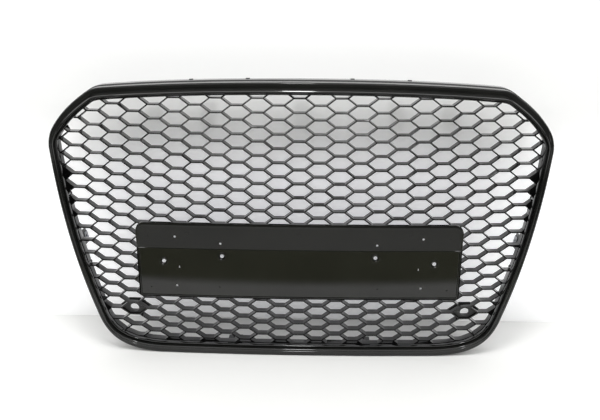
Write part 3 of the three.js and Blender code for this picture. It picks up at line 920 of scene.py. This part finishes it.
@dataclass
class NumberPlateCarrier:
    """The plain panel over the window: bevelled edge, crease, plate seats and small holes."""

    half_width: float = 279
    top: float = -147
    bottom: float = -284
    top_radius: float = 15
    bottom_radius: float = 7
    front: float = -41.3
    back: float = -31.6
    wall: float = 3
    crease: float = -192.5
    crease_tilt: float = 2.6
    crease_step: float = 0.9
    crease_width: float = 1.2
    seats: tuple[Point, ...] = ((131, -205), (232, -216))
    seat_rise: float = 0.6
    seat_hole: float = 3.2
    through: float = 9
    blind: float = 1.8
    through_holes: tuple[Point, ...] = ((133, -182), (211, -171), (211, -261))
    blind_holes: tuple[Point, ...] = ((256, -170), (256, -264), (136, -261), (0, -208))
    slits: tuple[Point, ...] = ((205, -226),)
    slit_size: tuple[float, float, float] = (1.4, 8, 4.4)
    front_steps: tuple[Point, ...] = (
        (0.5, 2.2), (1.1, 1.2), (1.8, 1.35), (0.4, 0.25), (1.2, 0.0), (0.5, -0.9), (0.9, 0.3),
    )
    screw_places: tuple[Point, ...] = ((190, -166), (0, -270), (190, -270), (0, -166))
    bow_step: float = 12
    piece: bpy.types.Object | None = field(default=None, init=False)

    def shell(self) -> bpy.types.Object:
        """The flat shell, its front raised step by step and its back hollow, before it is bowed."""
        width, height = 2 * self.half_width, self.top - self.bottom
        middle = (self.top + self.bottom) / 2
        rim = self.front + 5
        shell = box("carrier_shell", (width, self.back - rim, height), (0, (rim + self.back) / 2, middle))

        def is_middle(centre: Vector) -> bool:
            """Whether a face lies about the panel's middle."""
            return abs(centre.x) < 5 * MM and abs(centre.z - middle * MM) < 5 * MM

        with editing(shell):
            for top, radius in ((True, self.top_radius), (False, self.bottom_radius)):
                pick_edges(
                    lambda a, b, top=top: abs(a.y - b.y) > 3 * MM
                    and (min(a.z, b.z) > middle * MM if top else max(a.z, b.z) < middle * MM)
                    and abs(abs(a.x) - self.half_width * MM) < MM
                )
                bpy.ops.mesh.bevel(offset=radius * MM, segments=8)
            for inset, forward in self.front_steps:
                pick_faces(lambda centre, normal: normal.y < -0.99 and is_middle(centre))
                bpy.ops.mesh.inset(thickness=inset * MM, depth=0)
                bpy.ops.transform.translate(value=(0, -forward * MM, 0))
            pick_faces(lambda centre, normal: normal.y > 0.99 and is_middle(centre))
            bpy.ops.mesh.inset(thickness=2.5 * MM, depth=0)
            bpy.ops.mesh.extrude_region_move(
                TRANSFORM_OT_translate={"value": (0, (self.front + self.wall - self.back) * MM, 0)}
            )
        return shell

    def drill(self, shell: bpy.types.Object) -> None:
        """Adds the raised seats and cuts every hole."""
        for x, z in both_sides(self.seats):
            seat = drum("seat", 8.0, 8.5, self.front - self.seat_rise, self.front + 1.5, 48)
            soften(seat, 0.35, 2)
            boolean(shell, carry(seat, Matrix.Translation((x * MM, 0, z * MM))), "UNION")
            face = self.front - self.seat_rise - 0.01
            sink = drum("sink", 5.7, self.seat_hole, face, self.front + 2.4, 40)
            boolean(shell, carry(sink, Matrix.Translation((x * MM, 0, z * MM))), "DIFFERENCE")
            radius = self.seat_hole
            hole = drum("hole", radius, radius, self.front, self.front + self.through, 32)
            boolean(shell, carry(hole, Matrix.Translation((x * MM, 0, z * MM))), "DIFFERENCE")
        depths = (self.through, self.blind)
        for places, depth in zip((self.through_holes, self.blind_holes), depths):
            for x, z in both_sides(places):
                hole = drum("hole", 1.9, 1.7, self.front - 1, self.front + depth, 20)
                boolean(shell, carry(hole, Matrix.Translation((x * MM, 0, z * MM))), "DIFFERENCE")
        for x, z in both_sides(self.slits):
            slit = box("slit", self.slit_size, (x, self.front, z))
            boolean(shell, slit, "DIFFERENCE")

    def bosses(self) -> list[bpy.types.Object]:
        """The screw bosses behind the panel."""
        made = []
        for k, (x, z) in enumerate(both_sides(self.screw_places)):
            boss = drum(f"carrier_boss_{k}", 4, 4, self.front + 1.5, -24.3, 20)
            hole = drum("boss_hole", 2.1, 2.1, -36.3, -23, 16)
            boolean(boss, hole, "DIFFERENCE")
            soften(boss, 0.25, 2)
            made.append(carry(boss, Matrix.Translation((x * MM, DATUM.bow(x) * MM, z * MM))))
        return made

    def bend(self, shell: bpy.types.Object) -> None:
        """Cuts the flat shell into narrow bays and bows it, its upper zone leaning back."""
        with editing(shell):
            count = int(self.half_width // self.bow_step)
            for k in range(-count, count + 1):
                bpy.ops.mesh.select_all(action="SELECT")
                bpy.ops.mesh.bisect(plane_co=(k * self.bow_step * MM, 0, 0), plane_no=(1, 0, 0))
            for height in (self.crease, self.crease + self.crease_width):
                bpy.ops.mesh.select_all(action="SELECT")
                bpy.ops.mesh.bisect(plane_co=(0, 0, height * MM), plane_no=(0, 0, 1))
        rise = (self.crease_tilt - self.crease_step) / (self.top - self.crease)
        for vertex in shell.data.vertices:
            place = vertex.co
            forward = min(1.0, max(0.0, (self.front + self.wall - place.y / MM) / self.wall))
            above = max(0.0, place.z / MM - self.crease)
            step = self.crease_step * min(1.0, above / self.crease_width)
            lean = (rise * above + step) * forward
            place.y += (lean + DATUM.bow(place.x / MM)) * MM

    def build(self) -> bpy.types.Object:
        """Models the whole carrier.

        Returns:
            The finished piece.
        """
        shell = self.shell()
        self.drill(shell)
        self.bend(shell)
        parts = weld([shell, *self.bosses()], "carrier_moulding")
        self.piece = carry(parts, Matrix.Translation(DATUM.place(0, 0, 0)))
        smooth(self.piece, 18)
        return keep(self.piece, "carrier_gloss", "number_plate_carrier")

    def dress(self) -> None:
        """Gives the carrier its gloss."""
        Finish.CARRIER.dress(self.piece)


# ---- Parking-sensor holders --------------------------------------------------------------------------


@dataclass
class SensorHolders:
    """The plugs in two lower cells, each with a round socket and two prongs."""

    sides: tuple[str, ...] = ("left", "right")
    pieces: list[bpy.types.Object] = field(default_factory=list, init=False)

    def build(self) -> list[bpy.types.Object]:
        """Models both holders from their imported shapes, every edge rounded.

        Returns:
            The two pieces.
        """
        for side in self.sides:
            piece = moulding_copy(f"parking_sensor_holder_{side}", f"sensor_holder_{side}")
            soften(piece, 0.3, 2)
            smooth(piece)
            self.pieces.append(keep(piece, "holder_black", f"parking_sensor_holder_{side}"))
        return self.pieces

    def dress(self) -> None:
        """Gives both holders their nylon."""
        for piece in self.pieces:
            Finish.HOLDER.dress(piece)


# ---- Fasteners ---------------------------------------------------------------------------------------


@dataclass
class TappingScrews:
    """Black pan-head screws with a cross recess, driven in from behind."""

    head: float = 3.4
    head_height: float = 2.5
    shank: float = 1.75
    length: float = 14
    families: tuple[tuple[str, int], ...] = (("frame_screw", 14), ("carrier_screw", 6))
    pieces: list[bpy.types.Object] = field(default_factory=list, init=False)

    def pattern(self) -> bpy.types.Object:
        """One screw about the Y axis, its seat at the origin and its head to the back."""
        head = drum("screw_head", self.head, self.head, 0, self.head_height, 24)
        with editing(head):
            pick_edges(lambda a, b: min(a.y, b.y) > (self.head_height - 0.1) * MM)
            bpy.ops.mesh.bevel(offset=1.1 * MM, segments=4)
        for k, turn in enumerate((0, math.pi / 2)):
            slot = box(f"recess_{k}", (0.9, 1.5, 3.8), (0, self.head_height - 0.5, 0))
            with editing(slot):
                pick_faces(lambda centre, normal: normal.y < -0.9)
                bpy.ops.transform.resize(value=(0.6, 1, 0.55))
            boolean(head, carry(slot, Matrix.Rotation(turn, 4, "Y")), "DIFFERENCE")
        shank = drum("screw_shank", 0.3, self.shank, -self.length, 0.2, 16)
        with editing(shank):
            bpy.ops.mesh.select_all(action="SELECT")
            bpy.ops.mesh.bisect(plane_co=(0, (3 - self.length) * MM, 0), plane_no=(0, 1, 0))
        for vertex in shank.data.vertices:
            if vertex.co.y > (2.5 - self.length) * MM:
                radius = math.hypot(vertex.co.x, vertex.co.z)
                if radius > 0:
                    vertex.co.x *= self.shank * MM / radius
                    vertex.co.z *= self.shank * MM / radius
        return weld([head, shank], "screw_pattern")

    def build(self) -> list[bpy.types.Object]:
        """Copies the screw to every packed one.

        Returns:
            All the screws.
        """
        pattern = self.pattern()
        smooth(pattern)
        for family, count in self.families:
            for k in range(1, count + 1):
                node = f"{family}_{k}"
                low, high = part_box(node)
                middle = (low + high) / 2
                seat = high.y - self.head_height * MM
                turn = Matrix.Rotation(math.radians(37 * k), 4, "Y")
                place = Matrix.Translation((middle.x, seat, middle.z)) @ turn
                piece = twin(pattern, f"pan_head_{node}", place)
                self.pieces.append(keep(piece, "screw_black_zinc", node))
        bpy.data.objects.remove(pattern)
        return self.pieces

    def dress(self) -> None:
        """Gives every screw its plating."""
        for piece in self.pieces:
            Finish.SCREW.dress(piece)


@dataclass
class SpringClips:
    """Sheet-steel U clips sprung over the ends of the fixing tabs."""

    width: float = 15
    reach: float = 15
    sheet: float = 0.9
    inside: float = 3.6
    hole: float = 2.6
    end: float = 35.17
    hole_depth: float = 26
    inward: float = 3.5
    tabs: tuple[Point, ...] = ((0, 86.6), (158.8, 84.5), (250.8, 80.9), (385.8, -191.2))
    pieces: list[bpy.types.Object] = field(default_factory=list, init=False)

    def pattern(self) -> bpy.types.Object:
        """One clip at the origin, its bend at the back and its hole along X."""
        middle = -self.reach / 2
        clip = box("clip", (self.inside + 2 * self.sheet, self.reach, self.width), (0, middle, 0))
        inner = box(
            "clip_inner", (self.inside, self.reach, self.width + 2), (0, middle - self.sheet, 0)
        )
        for shape, radius in ((clip, 1.5), (inner, 0.7)):
            with editing(shape):
                pick_edges(
                    lambda a, b: abs(a.z - b.z) > self.width / 2 * MM and min(a.y, b.y) > -2 * MM
                )
                bpy.ops.mesh.bevel(offset=radius * MM, segments=5)
        boolean(clip, inner, "DIFFERENCE")
        hole = drum("clip_hole", self.hole, self.hole, -6, 6, 28)
        place = Matrix.Translation((0, (self.hole_depth - self.end) * MM, 0))
        boolean(clip, carry(hole, place @ Matrix.Rotation(math.pi / 2, 4, "Z")), "DIFFERENCE")
        soften(clip, 0.12, 2, 50)
        return clip

    def build(self) -> list[bpy.types.Object]:
        """Copies the clip to every clipped tab.

        Returns:
            All the clips.
        """
        pattern = self.pattern()
        smooth(pattern)
        for k, (x, z) in enumerate(both_sides(self.tabs), start=1):
            place = OUTLINE.nearest(x, z).matrix(DATUM, self.inward, self.end)
            piece = twin(pattern, f"u_clip_{k}", place)
            self.pieces.append(keep(piece, "clip_spring_steel", f"spring_clip_{k}"))
        bpy.data.objects.remove(pattern)
        return self.pieces

    def dress(self) -> None:
        """Gives every clip its steel."""
        for piece in self.pieces:
            Finish.CLIP.dress(piece)


# ---- Studio ------------------------------------------------------------------------------------------


@dataclass(frozen=True)
class SoftBox:
    """One rectangular lamp, aimed at a point."""

    name: str
    place: tuple[float, float, float]
    aim: tuple[float, float, float]
    size: Point
    power: float
    colour: Colour = (1, 1, 1)

    def hang(self) -> bpy.types.Object:
        """Makes the lamp."""
        data = bpy.data.lights.new(self.name, "AREA")
        data.shape = "RECTANGLE"
        data.size, data.size_y = self.size
        data.energy = self.power
        data.color = self.colour
        lamp = bpy.data.objects.new(self.name, data)
        bpy.context.scene.collection.objects.link(lamp)
        lamp.location = self.place
        way = Vector(self.aim) - Vector(self.place)
        lamp.rotation_mode = "QUATERNION"
        lamp.rotation_quaternion = way.to_track_quat("-Z", "Y")
        return lamp


@dataclass
class Studio:
    """A pale floor, a wall with painted light behind the grille, soft lamps, and the camera."""

    floor_z: float
    wall_y: float = 0.05
    mat_far: Point = (-0.66, -0.60)
    mat_near: Point = (-0.44, -0.38)
    mat_colour: Colour = (0.22, 0.225, 0.15)
    bench_colour: Colour = (0.44, 0.44, 0.43)
    # Painted light on the wall: a faint emission band between these heights lifts the shade behind the
    # grille. Its fade below the grille's top paints the frame's shadow.
    painted_light_foot: Point = (-0.56, -0.36)
    painted_light_head: Point = (-0.21, -0.05)
    painted_light_colour: Colour = (0.38, 0.38, 0.40)
    mottled: float = 0.985
    matt: float = 0.8
    half_size: float = 6
    floor_colour: Colour = (0.86, 0.86, 0.85)
    wall_colour: Colour = (0.9, 0.9, 0.9)
    room_colour: Colour = (0.95, 0.97, 0.90)
    room_strength: float = 0.22
    camera_place: tuple[float, float, float] = (0.0279, -1.1693, 0.1440)
    yaw: float = 1.36
    pitch: float = 72.02
    roll: float = 0.22
    lens: float = 40.8
    lamps: tuple[SoftBox, ...] = (
        SoftBox("overhead", (0, -1.2, 1.9), (0, 0.0, -0.3), (2.6, 1.3), 29),
        SoftBox("left_window", (-1.5, -1.4, 1.0), (0, 0.0, -0.3), (1.1, 0.9), 10),
        SoftBox("right_window", (1.5, -1.4, 1.0), (0, 0.0, -0.3), (1.1, 0.9), 10),
        SoftBox("front", (0, -2.4, 0.7), (0, 0.0, -0.2), (2.0, 0.9), 13),
        SoftBox("strip", (-0.03, -0.8, 0.95), (0, 0.0, -0.2), (0.13, 0.5), 6),
    )

    def plain(self, name: str, colour: Colour, is_floor: bool) -> bpy.types.Material:
        """A matt pale finish for the floor or the wall.

        Args:
            name: the material's name.
            colour: its pale colour.
            is_floor: the floor has a darker bench and mat ahead of the grille; the wall has painted
                light, a faint emission band behind the grille, and is clear from behind.

        Returns:
            The finished material.
        """
        shader = Shader(name)
        mottle = shader.noise(3, 4, 0.6)
        tone = shader.mix(mottle, tuple(self.mottled * c for c in colour), colour)
        along = shader.node("ShaderNodeSeparateXYZ", {}, {"Vector": shader.coords}, "Y")
        values = {"Roughness": self.matt + 0.1 * mottle, "Specular IOR Level": 0.2}
        if is_floor:
            near = 1 - along.over(*self.mat_near)
            tone = shader.mix(near, tone, self.bench_colour)
            tone = shader.mix(near * along.over(*self.mat_far), tone, self.mat_colour)
        else:
            # Painted light: the wall emits in a band behind the grille in place of light reaching it
            # there. The band fades out towards the floor and below the grille's top, which paints the
            # frame's shadow.
            height = along + self.floor_z + self.half_size
            painted_light = height.over(*self.painted_light_foot) * (1 - height.over(*self.painted_light_head))
            values["Emission Color"] = shader.mix(painted_light, (0, 0, 0), self.painted_light_colour)
            values["Emission Strength"] = 1.0
        values["Base Color"] = tone
        surface = shader.node("ShaderNodeBsdfPrincipled", {}, values, "BSDF")
        if not is_floor:
            clear = shader.node("ShaderNodeBsdfTransparent", {}, {})
            back = shader.node("ShaderNodeNewGeometry", {}, {}, "Backfacing")
            surface = shader.node("ShaderNodeMixShader", {}, {0: back, 1: surface, 2: clear})
        shader.node_out(surface)
        return shader.material

    def backdrop(self) -> None:
        """The floor and the wall."""
        bpy.ops.object.select_all(action="DESELECT")
        size = 2 * self.half_size
        bpy.ops.mesh.primitive_plane_add(size=size, location=(0, 0, self.floor_z))
        floor = bpy.context.object
        floor.name = "floor"
        floor.data.materials.append(self.plain("floor_white", self.floor_colour, True))
        bpy.ops.mesh.primitive_plane_add(
            size=size,
            location=(0, self.wall_y, self.floor_z + self.half_size),
            rotation=(math.pi / 2, 0, 0),
        )
        wall = bpy.context.object
        wall.name = "wall"
        wall.data.materials.append(self.plain("wall_white", self.wall_colour, False))
        floor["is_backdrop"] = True
        wall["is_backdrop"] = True

    def room(self) -> None:
        """The even light of the room."""
        world = bpy.data.worlds.new("room")
        bpy.context.scene.world = world
        world.use_nodes = True
        background = world.node_tree.nodes["Background"]
        background.inputs["Color"].default_value = (*self.room_colour, 1)
        background.inputs["Strength"].default_value = self.room_strength

    def camera(self) -> None:
        """The camera, a little above the grille and just right of its middle."""
        data = bpy.data.cameras.new("camera")
        data.sensor_width = 36
        data.lens = self.lens
        data.clip_start, data.clip_end = 0.01, 60
        camera = bpy.data.objects.new("camera", data)
        bpy.context.scene.collection.objects.link(camera)
        turn = (
            Matrix.Rotation(math.radians(self.yaw), 4, "Z")
            @ Matrix.Rotation(math.radians(self.pitch), 4, "X")
            @ Matrix.Rotation(math.radians(self.roll), 4, "Z")
        )
        camera.matrix_world = Matrix.Translation(self.camera_place) @ turn
        bpy.context.scene.camera = camera

    def build(self) -> None:
        """Sets the whole studio up."""
        self.backdrop()
        self.room()
        for lamp in self.lamps:
            lamp.hang()
        self.camera()
        bpy.context.scene.view_settings.view_transform = "Standard"
        log.info("studio: floor at %.4f m, %d lamps", self.floor_z, len(self.lamps))


# ---- Assembly ----------------------------------------------------------------------------------------


def corners() -> list[list[float]]:
    """The shown object's lowest and highest corner as plain numbers."""
    return [list(corner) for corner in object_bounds()]


def main() -> None:
    """Builds the grille and its studio."""
    logging.basicConfig(level=logging.INFO, format="%(message)s")
    packed = corners()
    assemblies = (
        SurroundFrame(),
        HoneycombInsert(),
        NumberPlateCarrier(),
        SensorHolders(),
        TappingScrews(),
        SpringClips(),
    )
    for assembly in assemblies:
        assembly.build()
        assembly.dress()
        log.info("%s done", type(assembly).__name__)
    Studio(floor_z=packed[0][2]).build()


if __name__ == "__main__":
    main()
